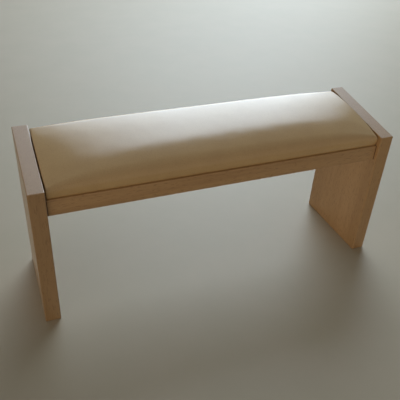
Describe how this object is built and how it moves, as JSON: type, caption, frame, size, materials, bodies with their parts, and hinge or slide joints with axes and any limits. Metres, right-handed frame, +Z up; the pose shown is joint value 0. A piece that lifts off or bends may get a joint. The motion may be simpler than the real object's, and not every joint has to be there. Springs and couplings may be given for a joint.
{
  "type": "prayer bench",
  "caption": "Low kneeling bench with slab end panels, slim rails and a slanted upholstered seat; the kneeling user's shins pass beneath the seat.",
  "frame": {"origin": "on the floor, midway between the end panels and midway from front to back", "axes": "+X along the bench to the right, +Y to the back, +Z up; the front, which is the lower edge of the seat, faces -Y"},
  "size_m": [0.5, 0.135, 0.2253],
  "materials": {
    "beech": "clear satin lacquer on pale beech",
    "plywood": "raw plywood",
    "foam": "open-cell foam",
    "leatherette": "cream leatherette with a fine grain and a soft gloss",
    "screw_steel": "zinc-plated steel",
    "staple_steel": "galvanised wire"
  },
  "bodies": {
    "root": {"left_end_panel": "beech", "right_end_panel": "beech", "front_rail": "beech", "back_rail": "beech", "left_cleat": "beech", "right_cleat": "beech", "front_rail_dowels": "beech", "back_rail_dowels": "beech", "cleat_screws": "screw_steel", "seat_board": "plywood", "seat_foam": "foam", "seat_cover": "leatherette", "cover_staples": "staple_steel", "seat_screws": "screw_steel"}
  },
  "joints": []
}
